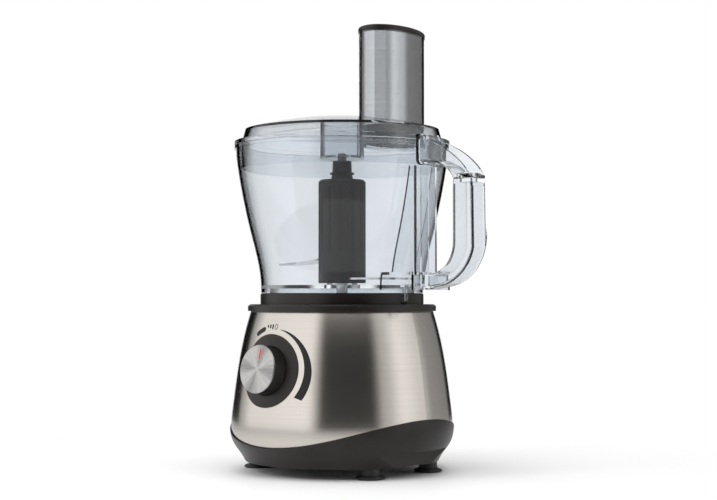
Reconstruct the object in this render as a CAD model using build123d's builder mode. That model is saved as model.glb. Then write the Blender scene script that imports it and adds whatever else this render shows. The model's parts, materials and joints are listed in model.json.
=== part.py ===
from build123d import *
import math
import os

# Food processor with a steel-wrapped motor base, a clear bowl and lid, and an oval feed tube.
# Origin: on the spindle's axis, at the level of the surface that the feet stand on.
# +Z up, -Y towards the speed dial, +X towards the bowl's handle. Millimetres.

# ---- clearances ----
running_gap = 0.05      # shaft in its bush, radial
body_gap = 0.4          # between pieces that move past each other
seat_gap = 0.1          # between fixed pieces that nest

# ---- motor base: one outline of revolution for shell, liner and skirt ----
foot_height = 9.0
deck_bottom = 143.0     # height of the steel wrap's top edge
base_outline = [(86.2, 0), (89.9, 6.5), (96.8, 16.5), (100.0, 32), (98.7, 49), (95.5, 74), (91.6, 98)]
deck_seat_radius = 82.7
steel_thickness = 0.8
liner_thickness = 2.0
skirt_wall = 2.4
skirt_proud = 1.4       # how far the skirt stands out from the steel
wave_low = 25.5         # height of the skirt's edge at the front
wave_radius = 222.0     # arc of that edge, seen from the front
wave_overlap = 3.0      # how far the steel reaches down behind the skirt's lip
grip_half_width = 43.0
grip_depth_x = 84.0
grip_height = 22.0
grip_wall = 2.4

plate_thickness = 2.5
foot_radius = 13.0
foot_x = 69.0
foot_y = 38.5
foot_stem_radius = 3.5

# ---- deck on top of the base ----
flange_radius = 85.3
flange_thickness = 6.0
ring_radius = 74.0
ring_height = 10.0
ring_inner = 66.0
groove_depth = 3.6
groove_low = 1.2
groove_height = 4.4
lug_count = 4
lug_angle = 12.0
unlock_angle = 25.0
boss_outer = 13.0
flange_top = deck_bottom + flange_thickness
ring_top = flange_top + ring_height

# ---- drive ----
spindle_radius = 5.0
bush_outer = 8.0
hex_across = 9.0
motor_y = 52.0
motor_shaft_radius = 4.0
pulley_low = 28.0
pulley_height = 14.0
drive_pulley_radius = 38.0
motor_pulley_radius = 6.5
belt_thickness = 2.0
frame_low = 55.0
frame_thickness = 3.0
stator_low = 76.0
stator_height = 30.0
stator_x = 58.0
stator_y = 54.0
armature_radius = 17.5
air_gap = 0.7

# ---- speed dial ----
dial_height = 92.0
dial_tilt = 9.0
bezel_radius = 32.0
bezel_proud = 0.9
knob_radius = 21.0
knob_length = 13.0
knob_sink = 4.0
knob_gap = 0.8
cup_wall = 2.2
dial_shaft_radius = 3.0
pointer_angle = 8.0

# ---- bowl: heights follow the ring that it stands on ----
bowl_bottom = ring_top + 0.3
bowl_height = 132.7
bowl_seat = bowl_bottom + 3.7       # underside of the bowl's floor
bowl_floor = bowl_bottom + 6.7
bowl_rim = bowl_bottom + bowl_height
bowl_outline = [(73.7, 0), (75.2, 20.5), (83.1, 54.2), (91.0, 89.7), (96.2, 123.0)]
bowl_wall = 2.4
rim_radius = 98.0
rim_thickness = 3.0
tube_outer = 14.0
tube_inner = 11.0
tube_top = bowl_floor + 56.0
column_x = 100.0
column_half_width = 15.5
column_top = bowl_rim - 23.2
column_wall = 2.4
bracket_x = 106.0
bracket_half_width = 26.0
bracket_top = bowl_bottom + 17.7
bracket_bottom = bowl_bottom + 2.2
handle_half_width = 10.0
handle_wall = 2.6
grip_inner_x = 136.0
grip_outer_x = 157.0
seam_height = bowl_rim - 37.0     # where the lid's arm meets the handle

# ---- lid, feed tube and pusher: heights follow the bowl's rim ----
lid_flange = 3.6
lid_wall = 2.4
lid_shoulder = (88.4, bowl_rim + 15.0)
lid_foot_radius = 92.5
lid_crown = bowl_rim + 27.0
lid_skirt_radius = 91.4
lid_skirt_bottom = bowl_rim - 21.0
lid_boss_radius = 20.0
lid_boss_bottom = bowl_rim - 11.0
feed_centre = (47.4, 14.8)
feed_angle = 17.4
feed_radial = 25.5
feed_across = 44.5
feed_top = bowl_rim + 97.4
feed_bottom = bowl_rim - 2.0
cap_thickness = 4.0
pusher_clearance = 0.6
pusher_wall = 2.2

# ---- blade ----
hub_radius = 21.5
hub_bottom = bowl_floor + 1.6
hub_shoulder = bowl_rim - 30.0
neck_radius = 8.5
neck_top = lid_boss_bottom - 2.0
pin_radius = 4.0
blade_reach = 66.0
blade_thickness = 1.8

# ---- interlock ----
rod_x = 95.3
rod_thickness = 2.0
rod_half_width = 5.0
rod_top = column_top - 0.4
plunger_x = 76.6
plunger_radius = 1.6

os.makedirs("parts", exist_ok=True)

plate_top = foot_height + plate_thickness
liner_outer = -steel_thickness - seat_gap
liner_inner = liner_outer - liner_thickness
lid_bottom = bowl_rim + body_gap
lid_flange_top = lid_bottom + lid_flange
reach = 130.0           # half size of cutting solids, larger than the object


def base_points(offset):
    """Points of the base's outline, moved outwards by offset."""
    points = [(r + offset, foot_height + h) for r, h in base_outline]
    points.append((deck_seat_radius + offset, deck_bottom))
    return points


def base_solid(offset):
    """Solid inside the base's outline, moved outwards by offset."""
    with BuildPart() as solid:
        with BuildSketch(Plane.XZ):
            with BuildLine():
                points = base_points(offset)
                Spline(*points)
                Line(points[-1], (0, points[-1][1]))
                Line((0, points[-1][1]), (0, points[0][1]))
                Line((0, points[0][1]), points[0])
            make_face()
        revolve(axis=Axis.Z)
    return solid.part


def above_wave(drop):
    """Solid above the skirt's curved edge, lowered by drop."""
    low = wave_low - drop
    rise = wave_radius - math.sqrt(wave_radius**2 - reach**2)
    with BuildPart() as solid:
        with BuildSketch(Plane.XZ):
            with BuildLine():
                ThreePointArc((-reach, low + rise), (0, low), (reach, low + rise))
                Polyline((reach, low + rise), (reach, 170), (-reach, 170), (-reach, low + rise))
            make_face()
        extrude(amount=reach, both=True)
    return solid.part


def surface_radius(height):
    """Radius of the base's outline at a height."""
    points = base_points(0)
    for (r0, z0), (r1, z1) in zip(points, points[1:]):
        if z0 <= height <= z1:
            return r0 + (r1 - r0) * (height - z0) / (z1 - z0)
    return points[-1][0]


def save(piece, name):
    """Label a finished piece and write its file."""
    piece.label = name
    export_step(piece, f"parts/{name}.step")


dial_normal = Vector(0, -math.cos(math.radians(dial_tilt)), math.sin(math.radians(dial_tilt)))
dial_plane = Plane(
    origin=(0, -surface_radius(dial_height), dial_height),
    x_dir=(1, 0, 0),
    z_dir=dial_normal,
)
cup_radius = knob_radius + knob_gap + cup_wall
cup_floor = -knob_sink - knob_gap


def block(x0, x1, y0, y1, z0, z1):
    """Box between two corners."""
    solid = Box(x1 - x0, y1 - y0, z1 - z0, mode=Mode.PRIVATE)
    return Pos((x0 + x1) / 2, (y0 + y1) / 2, (z0 + z1) / 2) * solid


def barrel(radius, z0, z1, x=0, y=0):
    """Upright cylinder between two heights."""
    solid = Cylinder(radius, z1 - z0, mode=Mode.PRIVATE)
    return Pos(x, y, (z0 + z1) / 2) * solid


def dial_barrel(radius, low, high):
    """Cylinder on the dial's axis, from low to high above the base's surface."""
    solid = Cylinder(radius, high - low, mode=Mode.PRIVATE)
    return dial_plane.location * Pos(0, 0, (low + high) / 2) * solid


def turned(points):
    """Solid turned about the spindle's axis from a closed outline of (radius, height) points."""
    with BuildPart() as solid:
        with BuildSketch(Plane.XZ):
            with BuildLine():
                Polyline(*points, close=True)
            make_face()
        revolve(axis=Axis.Z)
    return solid.part


def pocket_blocks():
    """Blocks that wall in the two hand grips of the skirt."""
    with BuildPart() as solid:
        inner = grip_depth_x - grip_wall
        width = grip_half_width + grip_wall
        add(block(inner, reach, -width, width, foot_height, grip_height + grip_wall))
        add(block(-reach, -inner, -width, width, foot_height, grip_height + grip_wall))
        add(base_solid(skirt_proud - seat_gap), mode=Mode.INTERSECT)
    return solid.part


def lip_relief():
    """Room behind the skirt's lip for the steel and its liner."""
    with BuildPart() as solid:
        add(base_solid(seat_gap))
        add(above_wave(wave_overlap + seat_gap), mode=Mode.INTERSECT)
    return solid.part


# ================= motor base =================

gland_radius = 5.0
gland_height = 15.6
gland_head = 1.4
cord_hole_radius = 3.6
gland_inside = surface_radius(gland_height) - 6

with BuildPart() as base_skirt:
    add(base_solid(skirt_proud))
    add(base_solid(skirt_proud - skirt_wall), mode=Mode.SUBTRACT)
    add(pocket_blocks())
    for side in (-1, 1):
        near = side * grip_depth_x
        far = side * reach
        add(
            block(min(near, far), max(near, far), -grip_half_width, grip_half_width, 0, grip_height),
            mode=Mode.SUBTRACT,
        )
    add(above_wave(0), mode=Mode.SUBTRACT)
    add(lip_relief(), mode=Mode.SUBTRACT)
    with Locations(Location((0, surface_radius(gland_height), gland_height), (90, 0, 0))):
        Cylinder(gland_radius + seat_gap, 30, mode=Mode.SUBTRACT)
save(base_skirt.part, "base_skirt")

with BuildPart() as cord_gland:
    with Locations(Location((0, gland_inside, gland_height), (-90, 0, 0))):
        Cylinder(gland_radius, 12, align=(Align.CENTER, Align.CENTER, Align.MIN))
        Cylinder(gland_radius + gland_head, 2, align=(Align.CENTER, Align.CENTER, Align.MAX))
        Cylinder(cord_hole_radius, 40, mode=Mode.SUBTRACT)
save(cord_gland.part, "cord_gland")

with BuildPart() as steel_wrap:
    add(base_solid(0))
    add(base_solid(-steel_thickness), mode=Mode.SUBTRACT)
    add(above_wave(wave_overlap), mode=Mode.INTERSECT)
    add(dial_barrel(cup_radius + seat_gap, -20, 30), mode=Mode.SUBTRACT)
save(steel_wrap.part, "steel_wrap")

with BuildPart() as body_liner:
    add(base_solid(liner_outer))
    add(base_solid(liner_inner), mode=Mode.SUBTRACT)
    add(above_wave(wave_overlap), mode=Mode.INTERSECT)
    add(dial_barrel(cup_radius + seat_gap, -20, 30), mode=Mode.SUBTRACT)
save(body_liner.part, "body_liner")

# Base plate: closes the skirt from below and carries the posts of the motor frame.
plate_radius = base_outline[0][0] + skirt_proud - skirt_wall - body_gap
post_places = [(-50, -35), (50, -35), (-50, 62), (50, 62)]
post_radius = 5.0
grommet_height = 4.0
post_top = frame_low - grommet_height
screw_radius = 2.0
foot_places = {
    "foot_front_left": (-foot_x, -foot_y),
    "foot_front_right": (foot_x, -foot_y),
    "foot_rear_left": (-foot_x, foot_y),
    "foot_rear_right": (foot_x, foot_y),
}
vent_width = 3.0
vent_length = 46.0

with BuildPart() as base_plate:
    add(barrel(plate_radius, foot_height, plate_top))
    for side in (-1, 1):
        near = side * (grip_depth_x - grip_wall - body_gap)
        far = side * reach
        add(
            block(min(near, far), max(near, far), -reach, reach, 0, plate_top + 1),
            mode=Mode.SUBTRACT,
        )
    for x, y in post_places:
        add(barrel(post_radius, plate_top, post_top, x, y))
        add(barrel(screw_radius, post_top - 14, post_top + 1, x, y), mode=Mode.SUBTRACT)
    for x, y in foot_places.values():
        add(barrel(foot_stem_radius + seat_gap, 0, plate_top + 1, x, y), mode=Mode.SUBTRACT)
    with BuildSketch(Plane.XY.offset(foot_height)):
        with GridLocations(2.5 * vent_width, 0, 7, 1):
            SlotOverall(vent_length, vent_width, rotation=90)
    extrude(amount=plate_thickness, mode=Mode.SUBTRACT)
    # notch round the inner head of the cord gland
    with Locations(Location((0, gland_inside, gland_height), (-90, 0, 0))):
        Cylinder(gland_radius + gland_head + body_gap, 12, mode=Mode.SUBTRACT)
save(base_plate.part, "base_plate")

for name, (x, y) in foot_places.items():
    with BuildPart() as foot:
        with BuildSketch(Plane(origin=(x, y, 0), x_dir=(1, 0, 0), z_dir=(0, -1, 0))):
            with BuildLine():
                Polyline(
                    (0, 1.2),
                    (foot_radius - 4, 0.8),
                    (foot_radius - 3.5, 0),
                    (foot_radius - 1, 0),
                    (foot_radius, 0.8),
                    (foot_radius - 1, 2.0),
                    (foot_radius - 4.5, 3.4),
                    (foot_radius - 5, foot_height),
                    (foot_stem_radius, foot_height),
                    (foot_stem_radius, plate_top),
                    (foot_stem_radius + 1.2, plate_top),
                    (foot_stem_radius, plate_top + 3),
                    (0, plate_top + 3),
                    close=True,
                )
            make_face()
        revolve(axis=Axis((x, y, 0), (0, 0, 1)))
    save(foot.part, name)

# Deck: flange over the steel, ring that the bowl locks into, and the spindle's upper bush seat.
rib_radius = deck_seat_radius + liner_inner - body_gap
switch_in = 62.0
switch_out = 79.2
switch_half_y = 5.0
switch_bottom = deck_bottom - 12.0
plunger_top = flange_top + 2.2
bush_low = deck_bottom - 5.0
bush_high = ring_top - 4.0
notch_half = lug_angle / 2 + 2
groove_radius = ring_inner + groove_depth

with BuildPart() as top_deck:
    add(
        turned(
            [
                (bush_outer, flange_top - 3),
                (rib_radius - 2.4, flange_top - 3),
                (rib_radius - 2.4, deck_bottom - 5),
                (rib_radius, deck_bottom - 5),
                (rib_radius, deck_bottom),
                (flange_radius, deck_bottom),
                (flange_radius, flange_top - 1.5),
                (flange_radius - 2, flange_top),
                (ring_radius, flange_top),
                (ring_radius, ring_top - 1),
                (ring_radius - 1, ring_top),
                (ring_inner, ring_top),
                (ring_inner, flange_top + groove_low + groove_height),
                (groove_radius, flange_top + groove_low + groove_height),
                (groove_radius, flange_top + groove_low),
                (ring_inner, flange_top + groove_low),
                (ring_inner, flange_top),
                (boss_outer, flange_top),
                (boss_outer, bush_high + 1),
                (bush_outer, bush_high + 1),
            ]
        )
    )
    add(barrel(boss_outer, bush_low, flange_top - 3))
    add(barrel(bush_outer, bush_low - 1, bush_high + 2), mode=Mode.SUBTRACT)
    for i in range(lug_count):
        middle = 45 + unlock_angle + i * 360 / lug_count
        with BuildSketch(Plane.XY.offset(flange_top + groove_low)):
            with BuildLine():
                start = PolarLine((0, 0), groove_radius, middle - notch_half)
                arc = RadiusArc(
                    start @ 1,
                    (PolarLine((0, 0), groove_radius, middle + notch_half, mode=Mode.PRIVATE) @ 1),
                    -groove_radius,
                )
                Line(arc @ 1, (0, 0))
            make_face()
            Circle(ring_inner - 1, mode=Mode.SUBTRACT)
        extrude(amount=ring_height, mode=Mode.SUBTRACT)
    add(barrel(plunger_radius + body_gap, switch_bottom, flange_top + 1, plunger_x, 0), mode=Mode.SUBTRACT)
    add(
        block(
            switch_in - body_gap,
            switch_out + body_gap,
            -switch_half_y - body_gap,
            switch_half_y + body_gap,
            deck_bottom - 6,
            flange_top - 3,
        ),
        mode=Mode.SUBTRACT,
    )
save(top_deck.part, "top_deck")

with BuildPart() as interlock_switch:
    add(block(switch_in, switch_out, -switch_half_y, switch_half_y, switch_bottom, flange_top - 3))
    add(
        barrel(plunger_radius + body_gap / 2, switch_bottom + 2, flange_top, plunger_x, 0),
        mode=Mode.SUBTRACT,
    )
    with Locations((switch_in + 4, 0, switch_bottom + 7)):
        Cylinder(1.5, 20, rotation=(90, 0, 0), mode=Mode.SUBTRACT)
save(interlock_switch.part, "interlock_switch")

with BuildPart() as switch_plunger:
    add(barrel(plunger_radius, switch_bottom + 2.3, plunger_top, plunger_x, 0))
    fillet(switch_plunger.edges().group_by(Axis.Z)[-1], 0.6)
save(switch_plunger.part, "switch_plunger")

# ================= drive inside the base =================

frame_top = frame_low + frame_thickness
frame_half_x = 58.0
frame_front = -43.0
frame_back = 72.0
shaft_bush_radius = 7.0
spindle_housing = 12.0
spindle_bush_low = 48.0
spindle_bush_high = 64.0
stator_top = stator_low + stator_height
leg_in = 26.4
leg_out = 29.4
leg_half_y = 8.0
bracket_thickness = 3.0
end_turn = 5.0
fan_low = 63.4
fan_height = 6.6
fan_radius = 24.0
upper_bracket_low = 124.0
belt_low = pulley_low + 2.0
belt_high = pulley_low + pulley_height - 2.0

with BuildPart() as motor_frame:
    with BuildSketch(Plane.XY.offset(frame_low)):
        with Locations((0, (frame_front + frame_back) / 2)):
            RectangleRounded(2 * frame_half_x, frame_back - frame_front, 14)
        Circle(spindle_housing, mode=Mode.ADD)
    extrude(amount=frame_thickness)
    add(barrel(spindle_housing, spindle_bush_low, spindle_bush_high))
    add(barrel(bush_outer, spindle_bush_low - 1, spindle_bush_high + 1), mode=Mode.SUBTRACT)
    add(barrel(shaft_bush_radius + 2, 40, frame_top + 1, 0, motor_y), mode=Mode.SUBTRACT)
    for x, y in post_places:
        add(barrel(screw_radius + seat_gap, 40, frame_top + 1, x, y), mode=Mode.SUBTRACT)
save(motor_frame.part, "motor_frame")

with BuildPart() as frame_grommets:
    for x, y in post_places:
        add(barrel(post_radius + 1, post_top, frame_low, x, y))
        add(barrel(screw_radius + seat_gap, post_top, frame_low, x, y), mode=Mode.SUBTRACT)
save(frame_grommets.part, "frame_grommets")

with BuildPart() as frame_screws:
    for x, y in post_places:
        add(barrel(screw_radius, post_top - 12, frame_top, x, y))
        add(barrel(2 * screw_radius, frame_top, frame_top + 2.4, x, y))
        with Locations((x, y, frame_top + 2.4)):
            Box(3.2, 0.8, 2, mode=Mode.SUBTRACT)
            Box(0.8, 3.2, 2, mode=Mode.SUBTRACT)
save(frame_screws.part, "frame_screws")

with BuildPart() as spindle_bushes:
    for low, high in ((spindle_bush_low, spindle_bush_high), (bush_low, bush_high)):
        add(barrel(bush_outer, low, high))
        add(barrel(spindle_radius + running_gap, low, high), mode=Mode.SUBTRACT)
save(spindle_bushes.part, "spindle_bushes")

with BuildPart() as motor_stator:
    with BuildSketch(Plane.XY.offset(stator_low)):
        with Locations((0, motor_y)):
            RectangleRounded(stator_x, stator_y, 6)
            Circle(armature_radius + air_gap, mode=Mode.SUBTRACT)
            with Locations((-13, 0), (13, 0)):
                Rectangle(9, 40, mode=Mode.SUBTRACT)
    extrude(amount=stator_height)
save(motor_stator.part, "motor_stator")

# Two field coils, wound round the stator's poles through its slots.
coil_in = 19.2
coil_out = 24.4
coil_half_x = 17.0
coil_leg = 7.8          # width of the winding inside a slot
coil_leg_end = coil_in + 0.6
coil_ends = [
    (stator_low - end_turn, stator_low - seat_gap),
    (stator_top + seat_gap, stator_top + end_turn),
]
with BuildPart() as field_coils:
    for side in (-1, 1):
        y_in = motor_y + side * coil_in
        y_out = motor_y + side * coil_out
        low_y, high_y = min(y_in, y_out), max(y_in, y_out)
        for low, high in coil_ends:
            add(block(-coil_half_x, coil_half_x, low_y, high_y, low, high))
        y_end = motor_y + side * coil_leg_end
        low_s, high_s = min(y_in, y_end), max(y_in, y_end)
        for x in (-coil_half_x, coil_half_x - coil_leg):
            add(block(x, x + coil_leg, low_s, high_s, stator_low - end_turn, stator_top + end_turn))
save(field_coils.part, "field_coils")


def motor_bracket(plate_low, leg_low, leg_high):
    """Cross plate that holds one motor bush, on two legs beside the stator."""
    near = motor_y - leg_half_y
    far = motor_y + leg_half_y
    with BuildPart() as bracket:
        add(block(-leg_out, leg_out, near, far, plate_low, plate_low + bracket_thickness))
        add(block(-leg_out, -leg_in, near, far, leg_low, leg_high))
        add(block(leg_in, leg_out, near, far, leg_low, leg_high))
        middle = plate_low + bracket_thickness / 2
        add(barrel(shaft_bush_radius, middle - 5, middle + 5, 0, motor_y), mode=Mode.SUBTRACT)
    return bracket.part


with BuildPart() as lower_bracket:
    add(motor_bracket(frame_top, frame_top, stator_low))
save(lower_bracket.part, "lower_bracket")

with BuildPart() as upper_bracket:
    add(motor_bracket(upper_bracket_low, stator_top, upper_bracket_low + bracket_thickness))
save(upper_bracket.part, "upper_bracket")

with BuildPart() as motor_bushes:
    for low in (frame_top, upper_bracket_low):
        add(barrel(shaft_bush_radius, low - 1, low + bracket_thickness + 0.6, 0, motor_y))
        add(
            barrel(motor_shaft_radius + running_gap, low - 2, low + bracket_thickness + 2, 0, motor_y),
            mode=Mode.SUBTRACT,
        )
save(motor_bushes.part, "motor_bushes")

commutator_low = 112.0
commutator_high = 121.0
commutator_radius = 10.0
brush_middle = (commutator_low + commutator_high) / 2
brush_half_y = 2.5
brush_half_z = 2.4
holder_half = 4.5


def brush_bar(near, far, gap):
    """Bar of a carbon brush's section, grown by a gap."""
    half_y = brush_half_y + gap
    half_z = brush_half_z + gap
    return block(near, far, motor_y - half_y, motor_y + half_y, brush_middle - half_z, brush_middle + half_z)


with BuildPart() as brush_holders:
    for side in (-1, 1):
        x_in = side * (commutator_radius + 3)
        x_out = side * leg_in
        near, far = min(x_in, x_out), max(x_in, x_out)
        low, high = brush_middle - 4, brush_middle + 4
        add(block(near, far, motor_y - holder_half, motor_y + holder_half, low, high))
        add(brush_bar(near, far, seat_gap), mode=Mode.SUBTRACT)
save(brush_holders.part, "brush_holders")

with BuildPart() as carbon_brushes:
    for side in (-1, 1):
        x_in = side * (commutator_radius + seat_gap)
        x_out = side * (leg_in - 2)
        add(brush_bar(min(x_in, x_out), max(x_in, x_out), 0))
save(carbon_brushes.part, "carbon_brushes")

with BuildPart() as rotor_shaft:
    add(barrel(motor_shaft_radius, pulley_low - 2, upper_bracket_low + 7, 0, motor_y))
save(rotor_shaft.part, "rotor_shaft")

slot_count = 12
with BuildPart() as armature:
    with BuildSketch(Plane.XY.offset(stator_low)):
        with Locations((0, motor_y)):
            Circle(armature_radius)
            with PolarLocations(armature_radius, slot_count):
                Rectangle(5, 1.8, mode=Mode.SUBTRACT)
    extrude(amount=stator_height)
    add(barrel(armature_radius - 2.5, stator_low - end_turn, stator_top + end_turn, 0, motor_y))
    add(barrel(motor_shaft_radius, 60, 130, 0, motor_y), mode=Mode.SUBTRACT)
save(armature.part, "armature")

with BuildPart() as commutator:
    with BuildSketch(Plane.XY.offset(commutator_low)):
        with Locations((0, motor_y)):
            Circle(commutator_radius)
            Circle(motor_shaft_radius, mode=Mode.SUBTRACT)
            with PolarLocations(commutator_radius, slot_count):
                Rectangle(1.6, 0.5, mode=Mode.SUBTRACT)
    extrude(amount=commutator_high - commutator_low)
save(commutator.part, "commutator")

with BuildPart() as cooling_fan:
    add(barrel(9, fan_low, fan_low + fan_height, 0, motor_y))
    add(barrel(fan_radius, fan_low, fan_low + 1.4, 0, motor_y))
    with BuildSketch(Plane.XY.offset(fan_low)):
        with Locations((0, motor_y)):
            with PolarLocations((fan_radius + 8) / 2, 10):
                Rectangle(fan_radius - 9, 1.4)
    extrude(amount=fan_height)
    add(barrel(motor_shaft_radius, 60, 80, 0, motor_y), mode=Mode.SUBTRACT)
save(cooling_fan.part, "cooling_fan")


def grooved_wheel(radius, bore, x, y):
    """Pulley with side flanges and a belt seat between them."""
    with BuildPart() as wheel:
        add(barrel(radius, pulley_low, pulley_low + pulley_height, x, y))
        with BuildSketch(Plane.XY.offset(belt_low - seat_gap)):
            with Locations((x, y)):
                Circle(radius + 1)
                Circle(radius - belt_thickness, mode=Mode.SUBTRACT)
        extrude(amount=belt_high - belt_low + 2 * seat_gap, mode=Mode.SUBTRACT)
        add(barrel(bore, pulley_low, pulley_low + pulley_height, x, y), mode=Mode.SUBTRACT)
    return wheel.part


with BuildPart() as motor_pulley:
    add(grooved_wheel(motor_pulley_radius, motor_shaft_radius, 0, motor_y))
save(motor_pulley.part, "motor_pulley")

with BuildPart() as drive_pulley:
    add(grooved_wheel(drive_pulley_radius, spindle_radius, 0, 0))
    with BuildSketch(Plane.XY.offset(pulley_low + 3)):
        Circle(drive_pulley_radius - belt_thickness - 4)
        Circle(spindle_radius + 5, mode=Mode.SUBTRACT)
    extrude(amount=pulley_height, mode=Mode.SUBTRACT)
    with BuildSketch(Plane.XY.offset(pulley_low)):
        with PolarLocations(20, 6):
            Circle(6)
    extrude(amount=pulley_height, mode=Mode.SUBTRACT)
save(drive_pulley.part, "drive_pulley")


def belt_loop(grow):
    """Closed loop round both pulley seats, grown outwards."""
    big = drive_pulley_radius - belt_thickness + body_gap / 2 + grow
    small = motor_pulley_radius - belt_thickness + body_gap / 2 + grow
    lean = math.asin((big - small) / motor_y)
    c, s = math.cos(lean), -math.sin(lean)
    with BuildSketch(Plane.XY.offset(belt_low)) as loop:
        with BuildLine():
            right = Line((big * c, -big * s), (small * c, motor_y - small * s))
            left = Line((-big * c, -big * s), (-small * c, motor_y - small * s))
            ThreePointArc(right @ 1, (0, motor_y + small), left @ 1)
            ThreePointArc(right @ 0, (0, -big), left @ 0)
        make_face()
    return loop.sketch


with BuildPart() as drive_belt:
    extrude(belt_loop(belt_thickness), amount=belt_high - belt_low)
    extrude(belt_loop(0), amount=belt_high - belt_low, mode=Mode.SUBTRACT)
save(drive_belt.part, "drive_belt")

spindle_bottom = pulley_low - 6.0
hex_low = tube_top + 4.0
hex_high = tube_top + 17.0
with BuildPart() as spindle:
    add(barrel(spindle_radius, spindle_bottom, hex_low))
    with BuildSketch(Plane.XY.offset(hex_low)):
        RegularPolygon(hex_across / 2, 6, major_radius=False)
    extrude(amount=hex_high - hex_low)
save(spindle.part, "spindle")

with BuildPart() as pulley_nut:
    with BuildSketch(Plane.XY.offset(pulley_low - 5)):
        RegularPolygon(8, 6, major_radius=False)
        Circle(spindle_radius, mode=Mode.SUBTRACT)
    extrude(amount=5)
save(pulley_nut.part, "pulley_nut")

# ================= speed dial =================

switch_low = -30.0
switch_high = -14.0
board_low = switch_low - 1.6
board_half_x = 24.0


def bezel_backing():
    """What the bezel's plate lies on: the steel, except where the bezel's cup passes through."""
    with BuildPart() as solid:
        add(base_solid(seat_gap))
        add(dial_barrel(cup_radius, -40, 20), mode=Mode.SUBTRACT)
    return solid.part


with BuildPart() as dial_bezel:
    add(base_solid(bezel_proud))
    add(dial_barrel(bezel_radius, cup_floor - cup_wall, 20), mode=Mode.INTERSECT)
    add(bezel_backing(), mode=Mode.SUBTRACT)
    add(dial_barrel(knob_radius + knob_gap, cup_floor, 20), mode=Mode.SUBTRACT)
    add(dial_barrel(dial_shaft_radius + running_gap, -20, 20), mode=Mode.SUBTRACT)
save(dial_bezel.part, "dial_bezel")

with BuildPart() as speed_switch:
    with BuildSketch(dial_plane.offset(switch_low)):
        RectangleRounded(26, 26, 3)
    extrude(amount=switch_high - switch_low)
    add(dial_barrel(5.5, switch_high, cup_floor - cup_wall))
    add(dial_barrel(dial_shaft_radius + running_gap, switch_low + 3, 0), mode=Mode.SUBTRACT)
save(speed_switch.part, "speed_switch")

with BuildPart() as control_board:
    with BuildSketch(dial_plane.offset(board_low)):
        RectangleRounded(2 * board_half_x, 60, 2)
        with GridLocations(2 * board_half_x - 8, 52, 2, 2):
            Circle(1.6, mode=Mode.SUBTRACT)
    extrude(amount=switch_low - board_low)
save(control_board.part, "control_board")

cap_edge = 1.0
shaft_top = knob_length - 4
with BuildPart() as dial_shaft:
    add(dial_barrel(dial_shaft_radius, switch_low + 4, shaft_top))
save(dial_shaft.part, "dial_shaft")

with BuildPart() as speed_knob:
    add(dial_barrel(knob_radius, -knob_sink, knob_length - cap_edge))
    add(dial_barrel(dial_shaft_radius, -20, shaft_top), mode=Mode.SUBTRACT)
save(speed_knob.part, "speed_knob")

mark_low = 8.5
mark_high = 17.5
mark_width = 1.5
mark_depth = 0.5
with BuildPart() as pointer_mark:
    with BuildSketch(dial_plane.offset(knob_length - mark_depth)):
        with Locations(Rot(0, 0, -pointer_angle) * Pos(0, (mark_low + mark_high) / 2)):
            Rectangle(mark_width, mark_high - mark_low)
    extrude(amount=mark_depth)
save(pointer_mark.part, "pointer_mark")

with BuildPart() as knob_cap:
    add(dial_barrel(knob_radius, knob_length - cap_edge, knob_length))
    cap_edges = knob_cap.edges().filter_by(GeomType.CIRCLE).sort_by(Axis(dial_plane.origin, dial_normal))
    chamfer(cap_edges[-1], 0.6)
    add(pointer_mark.part, mode=Mode.SUBTRACT)
save(knob_cap.part, "knob_cap")

# ================= bowl =================

seat_inner = 71.0
collar_outer = ring_inner - body_gap
collar_inner = collar_outer - 3.4
collar_bottom = flange_top + groove_low + body_gap
lug_height = groove_height - 2 * body_gap


def bowl_solid(inset, low, high):
    """Solid inside the bowl's outline, inset by a wall, between two heights."""
    points = [(r - inset, bowl_bottom + h) for r, h in bowl_outline]
    with BuildPart() as solid:
        with BuildSketch(Plane.XZ):
            with BuildLine():
                Spline(*points)
                Line(points[-1], (points[-1][0] + 0.4, bowl_rim))
                Line((points[-1][0] + 0.4, bowl_rim), (0, bowl_rim))
                Line((0, bowl_rim), (0, bowl_bottom))
                Line((0, bowl_bottom), points[0])
            make_face()
        revolve(axis=Axis.Z)
        add(block(-reach, reach, -reach, reach, low, high), mode=Mode.INTERSECT)
    return solid.part


def lug_ring(radius_in, radius_out, low, height, half_angle, middles):
    """Short arc-shaped lugs on a circle."""
    with BuildPart() as solid:
        for middle in middles:
            with BuildSketch(Plane.XY.offset(low)):
                with BuildLine():
                    first = PolarLine((0, 0), radius_out, middle - half_angle)
                    last = PolarLine((0, 0), radius_out, middle + half_angle)
                    RadiusArc(first @ 1, last @ 1, -radius_out)
                make_face()
                Circle(radius_in, mode=Mode.SUBTRACT)
            extrude(amount=height)
    return solid.part


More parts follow.
